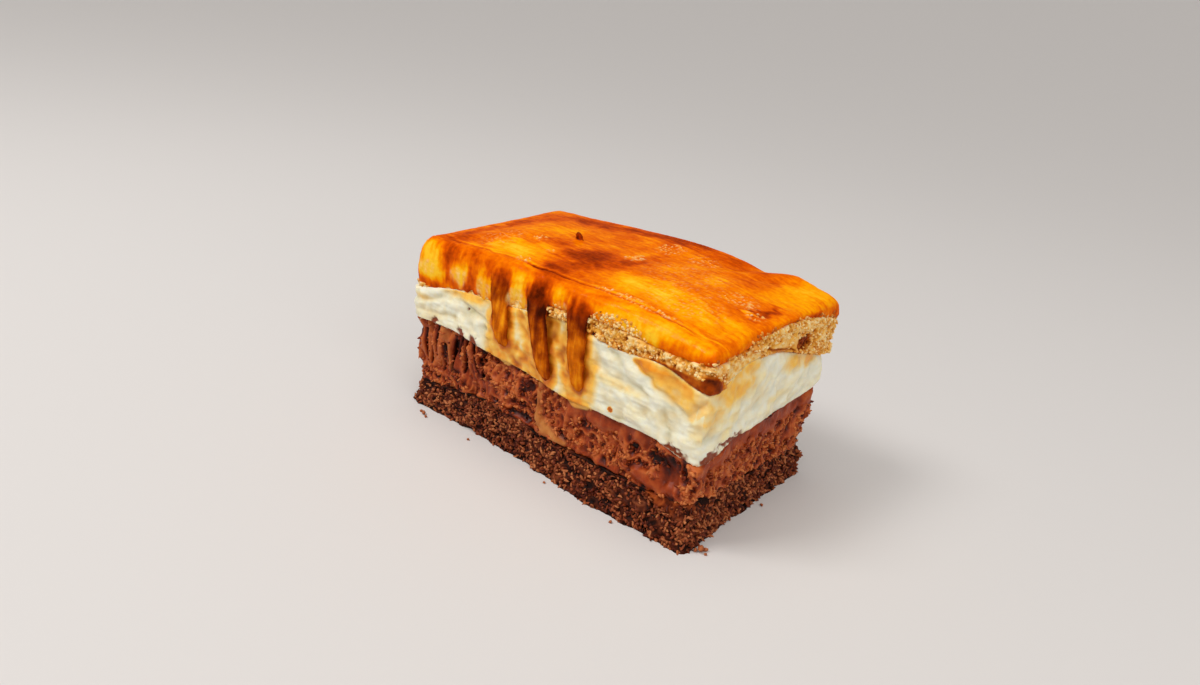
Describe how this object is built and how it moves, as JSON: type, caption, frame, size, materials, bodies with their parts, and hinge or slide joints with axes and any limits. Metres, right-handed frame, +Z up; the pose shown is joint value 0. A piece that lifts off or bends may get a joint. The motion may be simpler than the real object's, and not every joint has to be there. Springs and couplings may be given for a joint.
{
  "type": "mini layered cheesecake bar",
  "caption": "Small rectangular bar of layered cake: sponge base, chocolate mousse, cheese cream, thin sponge and a toasted glaze with caramel drips down one long side.",
  "frame": {"origin": "centre of the cake's bounding box, on the plane that it stands on", "axes": "+X along the bar, -Y towards the long side with the caramel drips, +Z up"},
  "size_m": [0.1012, 0.0614, 0.056],
  "materials": {
    "chocolate_sponge": "open dark brown cake crumb, dry and matte",
    "chocolate_mousse": "torn satin milk-chocolate mousse",
    "cheese_cream": "soft off-white cream, satin, stained yellow by the glaze",
    "vanilla_sponge": "pale golden crumb, moist at the glaze",
    "yolk_glaze": "glossy toasted egg-yolk glaze, yellow-orange to burnt caramel"
  },
  "bodies": {
    "root": {"sponge_base": "chocolate_sponge", "chocolate_mousse": "chocolate_mousse", "cream_layer": "cheese_cream", "vanilla_sponge": "vanilla_sponge", "yolk_glaze": "yolk_glaze"}
  },
  "joints": []
}
